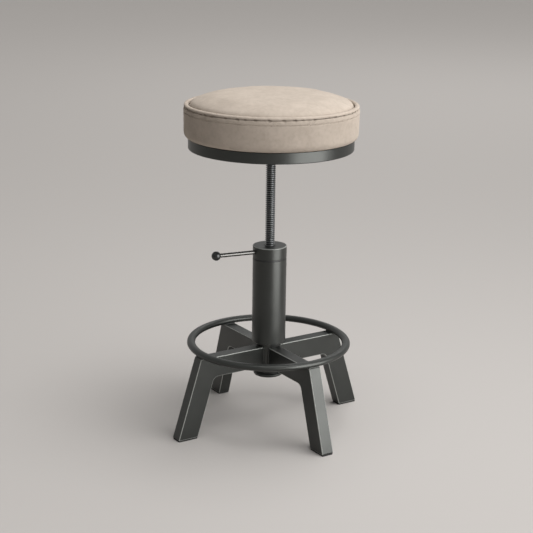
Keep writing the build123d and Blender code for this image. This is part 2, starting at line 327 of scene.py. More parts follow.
def coated_steel(name, colour, cloudy, edge, roughness):
    """Powder-coated steel: a satin skin with faint orange peel, uneven gloss and edges painted bright.

    The peel is 1.6 mm wide, a little coarser than the real one, so that it shows.  Where a mesh holds
    the attribute wear_and_painted_light, from 0 to 1, the coat turns to the edge colour by that share:
    the edge colour stands partly for coat rubbed through and partly for a painted highlight on edges.
    """
    made, tree, shader = material(name, Specular_IOR_Level=0.55, Specular_Tint=linear("#f4f6f0"))
    place = node(tree, "ShaderNodeTexCoord").outputs["Object"]
    peel = node(tree, "ShaderNodeTexNoise", {"Vector": place, "Scale": per_metre(1.6), "Detail": 2.0})
    cloud = node(tree, "ShaderNodeTexNoise", {"Vector": place, "Scale": per_metre(40), "Detail": 3.0})
    coat = node(tree, "ShaderNodeMix", {0: cloud.outputs["Fac"], 6: linear(colour), 7: linear(cloudy)},
                data_type="RGBA")
    # Share of the edge colour: rubbed coat and painted highlight
    wear_and_painted_light = node(tree, "ShaderNodeAttribute", attribute_name="wear_and_painted_light")
    tone = node(tree, "ShaderNodeMix", {0: wear_and_painted_light.outputs["Fac"], 6: coat.outputs[2], 7: linear(edge)},
                data_type="RGBA")
    gloss = node(tree, "ShaderNodeMapRange", {"Value": cloud.outputs["Fac"],
                                              "From Min": 0.3, "From Max": 0.7,
                                              "To Min": roughness - 0.04, "To Max": roughness + 0.05})
    bump = node(tree, "ShaderNodeBump", {"Height": peel.outputs["Fac"], "Strength": 0.16,
                                         "Distance": 0.06 * MM})
    tree.links.new(tone.outputs[2], shader.inputs["Base Color"])
    tree.links.new(gloss.outputs["Result"], shader.inputs["Roughness"])
    tree.links.new(bump.outputs["Normal"], shader.inputs["Normal"])
    return made


def bare_metal(name, colour, roughness, grain_mm, stretch, depth, rubbed_and_highlight=None):
    """Bare or plated metal: fine machining marks, longer along one direction, and the rubbed_and_highlight
    colour, if there is one, where a mesh holds the attribute wear_and_painted_light; that colour is
    partly rubbed metal and partly a painted highlight."""
    made, tree, shader = material(name, Metallic=1.0)
    wear_and_painted_light = node(tree, "ShaderNodeAttribute", attribute_name="wear_and_painted_light")
    # The rubbed colour is partly rubbed metal and partly a painted highlight
    bright = linear(rubbed_and_highlight or colour)
    tone = node(tree, "ShaderNodeMix", {0: wear_and_painted_light.outputs["Fac"], 6: linear(colour), 7: bright},
                data_type="RGBA")
    place = node(tree, "ShaderNodeTexCoord").outputs["Object"]
    along = node(tree, "ShaderNodeMapping", {"Vector": place, "Scale": stretch})
    marks = node(tree, "ShaderNodeTexNoise", {"Vector": along.outputs["Vector"],
                                              "Scale": per_metre(grain_mm), "Detail": 3.0})
    gloss = node(tree, "ShaderNodeMapRange", {"Value": marks.outputs["Fac"],
                                              "From Min": 0.25, "From Max": 0.75,
                                              "To Min": roughness * 0.8, "To Max": roughness * 1.25})
    bump = node(tree, "ShaderNodeBump", {"Height": marks.outputs["Fac"], "Strength": 0.2,
                                         "Distance": depth})
    tree.links.new(tone.outputs[2], shader.inputs["Base Color"])
    tree.links.new(gloss.outputs["Result"], shader.inputs["Roughness"])
    tree.links.new(bump.outputs["Normal"], shader.inputs["Normal"])
    return made


def moulded(name, colour, other, roughness, grain_mm, depth):
    """Moulded plastic or rubber: a fine matt grain and a slightly uneven tone."""
    made, tree, shader = material(name, Roughness=roughness)
    place = node(tree, "ShaderNodeTexCoord").outputs["Object"]
    grain = node(tree, "ShaderNodeTexNoise", {"Vector": place, "Scale": per_metre(grain_mm),
                                              "Detail": 2.0})
    cloud = node(tree, "ShaderNodeTexNoise", {"Vector": place, "Scale": per_metre(18), "Detail": 3.0})
    tone = node(tree, "ShaderNodeMix", {0: cloud.outputs["Fac"], 6: linear(colour), 7: linear(other)},
                data_type="RGBA")
    bump = node(tree, "ShaderNodeBump", {"Height": grain.outputs["Fac"], "Strength": 0.25,
                                         "Distance": depth})
    tree.links.new(tone.outputs[2], shader.inputs["Base Color"])
    tree.links.new(bump.outputs["Normal"], shader.inputs["Normal"])
    return made


def velvet(name, pile, brushed, deep):
    """Short-pile upholstery velvet: soft sheen at grazing angles, patches where the nap lies another way.

    Patches are 30 mm and 7 mm wide.  The pile itself is drawn 1.1 mm wide, coarser than real, to show.
    """
    made, tree, shader = material(name, Roughness=0.95, Specular_IOR_Level=0.15, Sheen_Weight=0.25,
                                  Sheen_Roughness=0.35, Sheen_Tint=linear("#e9dfd2"))
    place = node(tree, "ShaderNodeTexCoord").outputs["Object"]
    patches = node(tree, "ShaderNodeTexNoise", {"Vector": place, "Scale": per_metre(30), "Detail": 4.0,
                                                "Roughness": 0.6, "Distortion": 0.4})
    flecks = node(tree, "ShaderNodeTexNoise", {"Vector": place, "Scale": per_metre(7), "Detail": 3.0})
    hairs = node(tree, "ShaderNodeTexNoise", {"Vector": place, "Scale": per_metre(1.1), "Detail": 2.0})
    lie = node(tree, "ShaderNodeMapRange", {"Value": patches.outputs["Fac"],
                                            "From Min": 0.3, "From Max": 0.7})
    nap = node(tree, "ShaderNodeMix", {0: lie.outputs["Result"], 6: linear(pile), 7: linear(brushed)},
               data_type="RGBA")
    fleck = node(tree, "ShaderNodeMapRange", {"Value": flecks.outputs["Fac"],
                                              "From Min": 0.45, "From Max": 0.8, "To Max": 0.35})
    tone = node(tree, "ShaderNodeMix", {0: fleck.outputs["Result"], 6: nap.outputs[2], 7: linear(deep)},
                data_type="RGBA")
    coarse = node(tree, "ShaderNodeBump", {"Height": flecks.outputs["Fac"], "Strength": 0.12,
                                           "Distance": 0.6 * MM})
    fine = node(tree, "ShaderNodeBump", {"Height": hairs.outputs["Fac"], "Strength": 0.3,
                                         "Distance": 0.25 * MM, "Normal": coarse.outputs["Normal"]})
    tree.links.new(tone.outputs[2], shader.inputs["Base Color"])
    tree.links.new(fine.outputs["Normal"], shader.inputs["Normal"])
    return made


def plywood(name, pale, dark, ply_mm):
    """Birch plywood: plies show as level bands on the edge, with fine grain across the face."""
    made, tree, shader = material(name, Roughness=0.6)
    place = node(tree, "ShaderNodeTexCoord").outputs["Object"]
    plies = node(tree, "ShaderNodeTexWave", {"Vector": place, "Scale": per_metre(ply_mm) / TURN,
                                             "Distortion": 0.4}, bands_direction="Z")
    along = node(tree, "ShaderNodeMapping", {"Vector": place, "Scale": (0.1, 1.0, 1.0)})
    grain = node(tree, "ShaderNodeTexNoise", {"Vector": along.outputs["Vector"], "Scale": per_metre(2.5),
                                              "Detail": 4.0})
    share = node(tree, "ShaderNodeMath", {0: plies.outputs["Fac"], 1: grain.outputs["Fac"]},
                 operation="MULTIPLY")
    tone = node(tree, "ShaderNodeMix", {0: share.outputs[0], 6: linear(pale), 7: linear(dark)},
                data_type="RGBA")
    tree.links.new(tone.outputs[2], shader.inputs["Base Color"])
    return made


# Finishes, by the record's slot
FINISHES = {
    # Satin charcoal coat, nearly black in shade and grey where the light catches it; its pale edge colour
    # is partly coat rubbed through and partly a painted highlight along edges
    "charcoal_powder_coat": coated_steel("charcoal_powder_coat", "#1f2120", "#282a29", "#b4b7b3", 0.36),
    # Oiled black oxide, with the thread's crests painted bright, partly rubbed by the nut and partly a
    # painted highlight, so that the roots stay dark as painted shade
    "black_oxide_steel": bare_metal("black_oxide_steel", "#2b2c2c", 0.36, 3.0, (1.0, 1.0, 4.0), 0.02 * MM,
                                    rubbed_and_highlight="#868889"),
    # Drawn bar, dulled by handling, with fine marks
    "polished_steel": bare_metal("polished_steel", "#575654", 0.27, 1.5, (1.0, 1.0, 1.0), 0.01 * MM),
    # Bright zinc plate, slightly cloudy
    "zinc_steel": bare_metal("zinc_steel", "#b9bcbd", 0.32, 2.0, (1.0, 1.0, 1.0), 0.02 * MM),
    # Cast and turned bronze, warm, with turning marks
    "bronze": bare_metal("bronze", "#9c6f3c", 0.3, 1.0, (0.2, 0.2, 3.0), 0.02 * MM),
    # Phenolic ball, pressed and polished, nearly black
    "black_phenolic": moulded("black_phenolic", "#1a1b1b", "#222323", 0.27, 6.0, 0.01 * MM),
    # Black acetal, waxy
    "acetal": moulded("acetal", "#1c1c1d", "#232323", 0.45, 2.0, 0.02 * MM),
    # Natural nylon, slightly yellow
    "nylon": moulded("nylon", "#d6cfba", "#cdc5ae", 0.45, 2.0, 0.02 * MM),
    # Matt black rubber
    "foot_rubber": moulded("foot_rubber", "#161616", "#1e1d1c", 0.75, 1.5, 0.08 * MM),
    # Birch plywood, pale with darker plies
    "plywood": plywood("plywood", "#c9a877", "#a07f52", 1.6),
    # Taupe velvet, warm and pale where lit
    "taupe_velvet": velvet("taupe_velvet", "#bcb0a4", "#b1a599", "#9a8f83"),
}


def dress(piece, body, slot, *nodes):
    """Puts a new piece on its body in place of its CAD nodes, with the finish of its slot."""
    piece.data.materials.append(FINISHES[slot])
    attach(piece, body)
    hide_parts(*nodes)
    return piece


def paint(slot, *nodes):
    """Gives CAD nodes that stay in view the finish of their slot."""
    for name in nodes:
        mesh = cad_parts[name].data
        mesh.materials.clear()
        mesh.materials.append(FINISHES[slot])


def paint_light_and_wear(piece, wear_and_painted_light):
    """Stores at each vertex, from 0 to 1, the share of the rubbed colour, which is partly wear and
    partly painted light: highlights on edges and crests.
    """
    made = piece.data.attributes.new("wear_and_painted_light", "FLOAT", "POINT")
    made.data.foreach_set("value", np.ascontiguousarray(wear_and_painted_light, dtype=np.float32))


# Legs

def inset(outline, distance):
    """A closed anticlockwise outline moved inwards: each point along the mean of its sides' normals,
    by the distance over the cosine of half the turn there."""
    back = outline - np.roll(outline, 1, axis=0)
    ahead = np.roll(outline, -1, axis=0) - outline
    back /= np.linalg.norm(back, axis=1, keepdims=True)
    ahead /= np.linalg.norm(ahead, axis=1, keepdims=True)
    mean = back + ahead
    inwards = np.stack((-mean[:, 1], mean[:, 0]), axis=1)
    return outline + distance * 2 * inwards / (mean ** 2).sum(1, keepdims=True)


def leg_outline(foot_z, arm_z):
    """The elbow seen from its side: an arm from the hub, a bend, and a splayed leg down to the foot."""
    hub = round_sizes("hub_tube")[0]
    slope = (FOOT_RADIUS - SHOULDER_RADIUS) / arm_z
    level_depth = LEG_DEPTH * np.hypot(1, slope)
    arm_low = arm_z - LEG_DEPTH
    outer_foot = FOOT_RADIUS - slope * foot_z
    bend = FOOT_RADIUS - slope * arm_low - level_depth
    return rounded([
        (hub, arm_low, 0),
        (bend, arm_low, LEG_BEND),
        (outer_foot - level_depth, foot_z, LEG_CORNER),
        (outer_foot, foot_z, LEG_CORNER),
        (SHOULDER_RADIUS, arm_z, LEG_CORNER),
        (hub, arm_z, 0),
    ])


def leg_grid(node_name):
    """The elbow's outline carried across the bar: full size between the edges, drawn in along a
    quarter circle at both edges.  At the hub it follows the tube: sqrt(hub radius^2 - across^2)."""
    low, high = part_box(node_name)
    outline = leg_outline(low.z, high.z)
    outline = outline[np.linalg.norm(outline - np.roll(outline, 1, axis=0), axis=1) > 0.01 * MM]
    hub = round_sizes("hub_tube")[0]
    at_hub = outline[:, 0] < hub + 0.01 * MM
    quarter = np.linspace(0, np.pi / 2, 6)
    out = LEG_WIDTH / 2 - LEG_EDGE + LEG_EDGE * np.sin(quarter)
    drawn = LEG_EDGE * (1 - np.cos(quarter))
    across = np.concatenate((-out[::-1], out))
    columns = [inset(outline, step) for step in np.concatenate((drawn[::-1], drawn))]
    section = np.stack(columns, axis=1)
    section[at_hub, :, 0] = np.sqrt(hub ** 2 - across ** 2)
    return np.stack((section[..., 0], across + 0 * section[..., 0], section[..., 1]), axis=-1)


def leg_piece(place, angle):
    """One elbow of flat bar with rounded edges, closed by a flat face on each side.

    Its long edges are painted bright, partly as rubbed coat and partly as a painted highlight where the
    rounding is too small to catch the light: the share is sin(2 a) at the angle a round an edge's
    quarter circle.
    """
    name = f"leg_{place}"
    grid = leg_grid(name)
    faces = grid_faces(grid.shape, closed_rows=True).tolist()
    index = np.arange(grid.shape[0] * grid.shape[1]).reshape(grid.shape[:2])
    faces += [index[:, 0].tolist(), index[::-1, -1].tolist()]
    piece = flat_faces_stay_flat(mesh_piece(f"{name}_bar", swung(grid, angle), faces))
    across = np.abs(swung(points_of(piece), -angle)[:, 1])
    sine = np.clip((across - LEG_WIDTH / 2 + LEG_EDGE) / LEG_EDGE, 0, 1)
    # Painted highlight, with some wear, along the long edges
    paint_light_and_wear(piece, 2 * sine * np.sqrt(1 - sine ** 2))
    return dress(piece, "base", "charcoal_powder_coat", name)


def bead_grid(start, end, radius):
    """A weld bead: a round section carried along a line, its radius swelling and sinking like
    overlapping scales, radius (1 + scales saw(along / ripple)), and closing to a point at both ends."""
    start, end = np.array(start), np.array(end)
    length = np.linalg.norm(end - start)
    along = np.linspace(0, 1, 2 * int(length / BEAD_RIPPLE * 3) + 1)
    way = (end - start) / length
    side = np.cross(way, (0.36, 0.48, 0.8))
    side /= np.linalg.norm(side)
    scale = (along * length / BEAD_RIPPLE) % 1
    close = np.clip(np.minimum(along, 1 - along) * length / radius, 0, 1)
    size = radius * (1 + BEAD_SCALES * (scale - 0.5)) * np.sqrt(1 - (1 - close) ** 2)
    angle = np.arange(BEAD_SIDES) * TURN / BEAD_SIDES
    spokes = np.cos(angle)[:, None] * side + np.sin(angle)[:, None] * np.cross(way, side)
    return (start + along[:, None] * (end - start))[:, None] + size[:, None, None] * spokes


def welds():
    """Beads up both sides of each arm at the hub, and across each arm along both sides of the ring."""
    hub = round_sizes("hub_tube")[0]
    half = LEG_WIDTH / 2
    arm_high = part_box("leg_front_left")[1].z
    arm_low = arm_high - LEG_DEPTH
    at_hub = np.sqrt(hub ** 2 - half ** 2)
    ring_outer = round_sizes("foot_ring")[0]
    ring_inner = ring_outer - RING_WIDTH
    hub_beads, ring_beads = [], []
    for angle in LEG_ANGLES.values():
        for side in (-half, half):
            bead = bead_grid((at_hub, side, arm_low), (at_hub, side, arm_high), BEAD_RADIUS)
            hub_beads.append(swung(bead, angle))
        for across in (ring_inner + RING_WELD_INSET, ring_outer - RING_WELD_INSET):
            bead = bead_grid((across, -half, arm_high), (across, half, arm_high), BEAD_RADIUS)
            ring_beads.append(swung(bead, angle))
    for name, beads in (("hub_welds", hub_beads), ("ring_welds", ring_beads)):
        piece = grids_piece(name, beads, closed_columns=True)
        dress(piece, "base", "charcoal_powder_coat")


def foot_ring():
    """The hoop: an oval section, half width cos t across and half height sin t up, spun round."""
    outer, low, high = round_sizes("foot_ring")
    t = np.arange(40) * TURN / 40
    across = outer - RING_WIDTH / 2 + RING_WIDTH / 2 * np.cos(t)
    up = (low + high) / 2 + (high - low) / 2 * np.sin(t)
    grid = spun(np.stack((across, up), axis=1), 256)
    piece = grids_piece("foot_ring_hoop", [grid], closed_rows=True, closed_columns=True)
    dress(piece, "base", "charcoal_powder_coat", "foot_ring")


# Column

def column():
    """Hub tube, its flange, the stepped ring above it and the column's sleeve, each a turned piece.

    The stepped ring's lip under the sleeve is painted bright: a painted highlight.
    """
    hub, hub_low, hub_high = round_sizes("hub_tube")
    hub_bore = hub - HUB_WALL
    flange, flange_low, flange_high = round_sizes("hub_flange")
    lip_ring, lip_low, lip_high = round_sizes("column_foot")
    lip = hub + LIP_WIDTH
    sleeve, sleeve_low, sleeve_high = round_sizes("column_tube")
    bore = sleeve - COLUMN_WALL
    outlines = {
        "hub_tube": [
            (hub_bore, hub_low, 0), (hub, hub_low, 0), (hub, hub_high, TUBE_EDGE), (hub_bore, hub_high, 0),
        ],
        "hub_flange": [
            (PLUG_RADIUS, flange_low, 0), (flange, flange_low, FLANGE_EDGE),
            (flange, flange_high, FLANGE_EDGE), (PLUG_RADIUS, flange_high, 0),
        ],
        "column_foot": [
            (hub, lip_low, 0), (lip, lip_low, BORE_EDGE), (lip, sleeve_low, 0),
            (lip_ring, sleeve_low, 0), (lip_ring, lip_high, TUBE_EDGE), (hub, lip_high, 0),
        ],
        "column_tube": [
            (bore, sleeve_low, BORE_EDGE), (sleeve, sleeve_low, TUBE_EDGE),
            (sleeve, sleeve_high, TUBE_EDGE), (bore, sleeve_high, BORE_EDGE),
        ],
    }
    for name, corners in outlines.items():
        piece = turned_piece(f"{name}_turned", corners)
        if name == "column_foot":
            # Painted highlight on the lip under the sleeve
            paint_light_and_wear(piece, points_of(piece)[:, 2] <= sleeve_low)
        dress(piece, "base", "charcoal_powder_coat", name)


def lock():
    """Lock collar with a painted highlight along its top edge, lever rod and ball.

    The ball is a circle's half turned about the lever's line.
    """
    collar, low, high = round_sizes("lock_collar")
    mouth = round_sizes("lead_screw")[0] + COLLAR_MOUTH_GAP
    taper_high = high - COLLAR_TOP_WALL
    corners = [
        (NECK_RADIUS, low, COLLAR_NECK_EDGE), (collar, low, COLLAR_LOW_EDGE),
        (collar, high, COLLAR_TOP_EDGE), (mouth, high, TUBE_EDGE), (mouth, taper_high, BORE_EDGE),
        (NECK_RADIUS, taper_high - COLLAR_TAPER, BORE_EDGE),
    ]
    piece = turned_piece("lock_collar_turned", corners)
    points = points_of(piece)
    outer = np.hypot(points[:, 0], points[:, 1]) > collar - COLLAR_HIGHLIGHT_WIDTH
    # Painted highlight round the collar's top outer edge
    paint_light_and_wear(piece, COLLAR_HIGHLIGHT * (outer & (points[:, 2] > high - COLLAR_HIGHLIGHT_WIDTH)))
    dress(piece, "lock_collar", "charcoal_powder_coat", "lock_collar")
    origin = (0, 0, (low + high) / 2)
    rod = LEVER_DIAMETER / 2
    tip = BALL_PLACE - BALL_DIAMETER / 2 + BALL_BORE
    bar = rounded([
        (0, LEVER_START, 0), (rod, LEVER_START, LEVER_EDGE), (rod, tip, LEVER_EDGE), (0, tip, 0),
    ])
    piece = grids_piece("lever_rod_bar", [aimed(spun(bar, 48), origin, LEVER_ANGLE)], closed_columns=True)
    dress(flat_faces_stay_flat(piece), "lock_collar", "polished_steel", "lever_rod")
    t = np.linspace(0, np.pi, 49)
    half = np.stack((np.sin(t), -np.cos(t)), axis=1) * BALL_DIAMETER / 2 + (0, BALL_PLACE)
    piece = grids_piece("ball_knob_ball", [aimed(spun(half, 64), origin, LEVER_ANGLE)], closed_columns=True)
    dress(piece, "lock_collar", "black_phenolic", "ball_knob")


def thread_profile(phase):
    """Height of a trapezoidal thread over one pitch: crest, flank, root and flank, each straight."""
    return np.interp(phase, (0, 0.14, 0.32, 0.68, 0.86, 1), (1, 1, 0, 0, 1, 1))


def lead_screw():
    """The threaded bar and its journal; the thread's crests are painted bright, partly as rubbing by the
    nut and partly as a painted highlight, and its roots stay dark as painted shade.

    A row follows the thread at one phase of its profile, so a point's height is pitch x (row / rows a
    pitch + turn).  After one turn a row meets the row one pitch up, which the faces join.
    """
    outer, low, high = round_sizes("lead_screw")
    root = outer - THREAD_DEPTH
    journal_high = low + GUIDE_HEIGHT
    rows_a_pitch, segments = 10, 40
    pitches = int((high - journal_high) / THREAD_PITCH) + 3
    row = np.arange(pitches * rows_a_pitch)[:, None]
    turn = np.arange(segments)[None, :] / segments
    up = journal_high - THREAD_PITCH + THREAD_PITCH * (row / rows_a_pitch + turn)
    radius = root + THREAD_DEPTH * thread_profile(row / rows_a_pitch % 1) + 0 * turn
    radius = np.where((up < journal_high) | (up > high), root, radius)
    up = np.clip(up, journal_high, high)
    grid = np.stack((radius * np.cos(turn * TURN), radius * np.sin(turn * TURN), up), axis=-1)
    index = np.arange(grid.shape[0] * segments).reshape(-1, segments)
    index = np.hstack((index[:-rows_a_pitch], index[rows_a_pitch:, :1]))
    piece = mesh_piece("lead_screw_thread", grid, quads(index).tolist(), close_holes=True)
    # Crests painted bright and roots left dark: painted highlight and painted shade, partly real rubbing
    paint_light_and_wear(piece, (np.hypot(*points_of(piece)[:, :2].T) - root) / THREAD_DEPTH)
    dress(piece, "seat", "black_oxide_steel", "lead_screw")
    journal = JOURNAL_DIAMETER / 2
    corners = [(0, low, 0), (journal, low, JOURNAL_EDGE), (journal, journal_high, 0), (0, journal_high, 0)]
    dress(turned_piece("lead_screw_journal", corners, bored=False, segments=64), "seat", "black_oxide_steel")


def seat_pan():
    """The pressed tray under the cushion and the flange that holds it on the screw."""
    pan, low, high = round_sizes("seat_pan")
    inner = pan - PAN_SHEET
    corners = [
        (0, low, 0), (pan, low, PAN_EDGE), (pan, high, TUBE_EDGE), (inner, high, PAN_LIP_EDGE),
        (inner, low + PAN_SHEET, PAN_INSIDE_EDGE), (0, low + PAN_SHEET, 0),
    ]
    tray = turned_piece("seat_pan_tray", corners, bored=False, segments=256)
    dress(tray, "seat", "charcoal_powder_coat", "seat_pan")
    flange, boss_low, flange_high = round_sizes("mounting_flange")
    bore = round_sizes("lead_screw")[0]
    plate_low = flange_high - SEAT_FLANGE
    corners = [
        (bore, boss_low, 0), (BOSS_RADIUS, boss_low, SEAT_FLANGE_EDGE),
        (BOSS_RADIUS, plate_low, BOSS_FILLET), (flange, plate_low, SEAT_FLANGE_EDGE),
        (flange, flange_high, PAN_LIP_EDGE), (bore, flange_high, 0),
    ]
    dress(turned_piece("mounting_flange_turned", corners), "seat", "charcoal_powder_coat", "mounting_flange")


# Upholstery

def waves(angle, counts, seed):
    """Uneven ripples round a seam: equal sine waves of these counts a turn with seeded phases, with
    their sum scaled to lie mostly between -1 and 1."""
    phase = np.random.default_rng(seed).uniform(0, TURN, len(counts))
    total = sum(np.sin(count * angle + shift) for count, shift in zip(counts, phase))
    return total / np.sqrt(len(counts)) * 0.8


def seam_gaps(angle):
    """Where the seam under the rim gapes, from 0 to 1: short lens-shaped openings of uneven length."""
    return np.clip(1.3 * waves(angle, (38, 47, 59, 72, 88), 21) - 0.1, 0, 1)


def swell(piece, sewn, cap, pressure=4.0, frames=20):
    """Stuffs a closed cushion: cloth under pressure swells from its sewn points, and no point may end
    farther from its start than the cap."""
    start = points_of(piece)
    group = piece.vertex_groups.new(name="sewn")
    group.add(np.flatnonzero(sewn).tolist(), 1.0, "REPLACE")
    cloth = piece.modifiers.new("stuffing", "CLOTH")
    cloth.settings.use_pressure = True
    cloth.settings.uniform_pressure_force = pressure
    cloth.settings.vertex_group_mass = "sewn"
    cloth.settings.effector_weights.gravity = 0
    scene = bpy.context.scene
    for number in range(1, frames + 1):
        scene.frame_set(number)
    shaped = piece.evaluated_get(bpy.context.evaluated_depsgraph_get())
    swollen = np.empty(3 * len(shaped.data.vertices))
    shaped.data.vertices.foreach_get("co", swollen)
    piece.modifiers.remove(cloth)
    piece.vertex_groups.clear()
    move = swollen.reshape(-1, 3) - start
    length = np.linalg.norm(move, axis=1, keepdims=True)
    put_points(piece, start + move * np.minimum(1, cap / np.maximum(length, 1e-9)))
    scene.frame_set(1)


def subdivided(piece, levels):
    """Replaces the mesh by its subdivided surface."""
    divide = piece.modifiers.new("subdivision", "SUBSURF")
    divide.levels = levels
    divide.render_levels = levels
    shaped = piece.evaluated_get(bpy.context.evaluated_depsgraph_get())
    mesh = bpy.data.meshes.new_from_object(shaped)
    piece.modifiers.clear()
    piece.data = mesh
    mesh.shade_smooth()


def cushion_band():
    """The boxed cushion under the rim.

    Its side is a slack curve from the pan's edge to the seam, spun round, swollen as cloth and divided.
    Then the cloth is drawn in: where the seam under the rim gapes, along a sunken row of stitches, and
    in small slanting puckers between the two that die away below.
    """
    seat, low, high = round_sizes("seat_cushion")
    rim = round_sizes("rim_welt")[0]
    well = rim - RIM_WIDTH
    seam = rim - SEAM_INSET
    loose_side = seat - BAND_SLACK
    side_low, side_high = low + BAND_BOTTOM, high - BAND_TOP
    bottom_in = seat - BAND_BOTTOM
    arc = np.linspace(0, np.pi / 2, 6)
    under = np.stack((bottom_in + (loose_side - bottom_in) * np.sin(arc),
                      low + BAND_BOTTOM * (1 - np.cos(arc))), axis=1)
    rise = np.linspace(side_low, side_high, 11)[1:-1]
    side = np.stack((loose_side + 0 * rise, rise), axis=1)
    over = np.stack((seam + (loose_side - seam) * np.cos(arc), side_high + BAND_TOP * np.sin(arc)), axis=1)
    floor = high - BAND_WELL
    inside = np.array([(seam - 3 * MM, high), (well, high), (well, floor), (well * 0.6, floor), (0, floor)])
    base = np.array([(0, low), (bottom_in * 0.5, low), (bottom_in * 0.8, low), (bottom_in - 6 * MM, low)])
    outline = np.concatenate((base, under, side, over, inside))
    piece = grids_piece("seat_cushion_band", [spun(outline, 180)], closed_columns=True)
    points = points_of(piece)
    across = np.hypot(points[:, 0], points[:, 1])
    swell(piece, (across < seam + 0.2 * MM) | (points[:, 2] < low + 0.5 * MM), BAND_SWELL)
    subdivided(piece, 2)
    points = points_of(piece)
    across = np.hypot(points[:, 0], points[:, 1])
    angle = np.arctan2(points[:, 1], points[:, 0])
    drop = high - points[:, 2]
    outside = np.clip((across - (seam - 2 * MM)) / (2 * MM), 0, 1)
    gape = SEAM_GAPE * seam_gaps(angle) * np.exp(-(drop / SEAM_REACH) ** 2)
    groove = STITCH_GROOVE * np.exp(-((drop - STITCH_DROP) / STITCH_GROOVE) ** 2)
    gather = waves(angle + 6 * drop, (57, 71, 83, 96, 113), 3) * (0.7 + 0.3 * waves(angle, (5, 9, 14), 4))
    strip = PUCKER_DEPTH * np.exp(-((drop - PUCKER_PLACE) / PUCKER_REACH) ** 2)
    below = PUCKER_TAIL * np.exp(-np.clip(drop - STITCH_DROP, 0, 1) / PUCKER_FADE) * (drop > STITCH_DROP)
    loose = BAND_SAG * waves(angle + 3 * drop, (7, 11, 16, 23), 5)
    inwards = outside * (gape + groove + gather * (strip + below) + loose)
    shrink = 1 - inwards / np.maximum(across, MM)
    points[:, 0] *= shrink
    points[:, 1] *= shrink
    put_points(piece, points)
    dress(piece, "seat", "taupe_velvet", "seat_cushion")


def rim_roll():
    """The rolled rim: a flat-bottomed oval section spun round, its height and width rippling with the
    gathers of the seam below, and its lower outer edge lifted where that seam gapes."""
    rim, low, high = round_sizes("rim_welt")
    inner = rim - RIM_WIDTH
    t = (np.arange(36) * TURN / 36)[:, None]
    angle = np.arange(720) * TURN / 720
    section_across = np.sign(np.cos(t)) * np.abs(np.cos(t)) ** 0.85
    section_up = np.where(np.sin(t) < 0, -RIM_BELOW * np.abs(np.sin(t)) ** 0.5, np.sin(t))
    lower_edge = 2 * np.clip(np.cos(t), 0, 1) * np.clip(-np.sin(t), 0, 1)
    lift = RIM_LIFT * lower_edge * seam_gaps(angle)
    ripple = RIM_RIPPLE * waves(angle, (41, 57, 71, 83), 3) + RIM_SWAY * waves(angle, (6, 10, 15), 8)
    half = RIM_WIDTH / 2 + ripple * 0.5
    across = (rim + inner) / 2 - RIM_PLAY + half * section_across - 0.5 * lift
    base_z = low + RIM_BELOW / (1 + RIM_BELOW) * (high - low)
    tall = (high - low) / (1 + RIM_BELOW) - 0.15 * MM + ripple * 0.6
    up = base_z + tall * section_up + lift
    grid = np.stack((across * np.cos(angle), across * np.sin(angle), up), axis=-1)
    piece = grids_piece("rim_welt_roll", [grid], closed_rows=True, closed_columns=True)
    dress(piece, "seat", "taupe_velvet", "rim_welt")


def disc_points(count):
    """A square grid laid onto a disc of radius 1: the larger of the two steps gives the ring, the ratio
    of the two gives the place along it, so that faces stay nearly square everywhere."""
    step = np.linspace(-1, 1, count)
    u, v = np.meshgrid(step, step)
    wide = np.abs(u) >= np.abs(v)
    ring = np.where(wide, u, v)
    safe = np.where(ring == 0, 1, ring)
    angle = np.where(wide, np.pi / 4 * v / safe, np.pi / 2 - np.pi / 4 * u / safe)
    return ring * np.cos(angle), ring * np.sin(angle)


def pad_height(ring, rise):
    """Height of the pad over its edge at a share of its radius: rise x sqrt(1 - ring^power), nearly flat
    over the middle and steep where it tucks in behind the rim."""
    return rise * np.sqrt(np.clip(1 - ring ** PAD_POWER, 0, 1))


def top_pad():
    """The domed pad in the rim: a slack dome on a round wall, stuffed as cloth, with the swelling evened
    out between neighbours, and divided.

    Its edge then tucks under with small gathers, and its top dips a little here and there.
    """
    edge, low, high = round_sizes("seat_top_pad")
    edge_z = round_sizes("rim_welt")[2] - PAD_EDGE_DROP
    count = PAD_GRID
    x, y = disc_points(count)
    dome = edge_z + pad_height(np.hypot(x, y), high - edge_z - PAD_SLACK)
    top = np.stack((x * edge, y * edge, dome), axis=-1)
    bottom = np.stack((x * edge, y * edge, low + 0 * x), axis=-1)
    index = np.arange(count * count).reshape(count, count)
    loop = np.concatenate((index[0, :-1], index[:-1, -1], index[-1, :0:-1], index[:0:-1, 0]))
    ahead = np.roll(loop, -1)
    wall = np.stack((loop + count ** 2, ahead + count ** 2, ahead, loop), axis=-1)
    faces = np.concatenate((grid_faces(x.shape), grid_faces(x.shape, count ** 2)[:, ::-1], wall))
    piece = mesh_piece("seat_top_pad_dome", np.concatenate((top, bottom)), faces.tolist())
    start = points_of(piece)
    swell(piece, start[:, 2] < edge_z + 0.2 * MM, PAD_SLACK)
    move = (points_of(piece) - start).reshape(2, count, count, 3)
    for _ in range(PAD_SMOOTHING):
        around = move[:, :-2, 1:-1] + move[:, 2:, 1:-1] + move[:, 1:-1, :-2] + move[:, 1:-1, 2:]
        move[:, 1:-1, 1:-1] = (move[:, 1:-1, 1:-1] + around) / 5
    put_points(piece, start + move.reshape(-1, 3))
    subdivided(piece, 1)
    points = points_of(piece)
    angle = np.arctan2(points[:, 1], points[:, 0])
    across = np.hypot(points[:, 0], points[:, 1])
    upper = np.clip((points[:, 2] - edge_z) / (2 * MM), 0, 1)
    gather = PAD_GATHER * waves(angle, (31, 43, 52, 67), 11) * np.exp(-(edge - across) / PAD_GATHER_FADE)
    dip = PAD_DIP * (np.sin(points[:, 0] / PAD_DIP_ACROSS + 1) * np.sin(points[:, 1] / PAD_DIP_ALONG) - 1)
    points[:, 2] += upper * (gather + dip)
    put_points(piece, points)
    dress(piece, "seat", "taupe_velvet", "seat_top_pad")


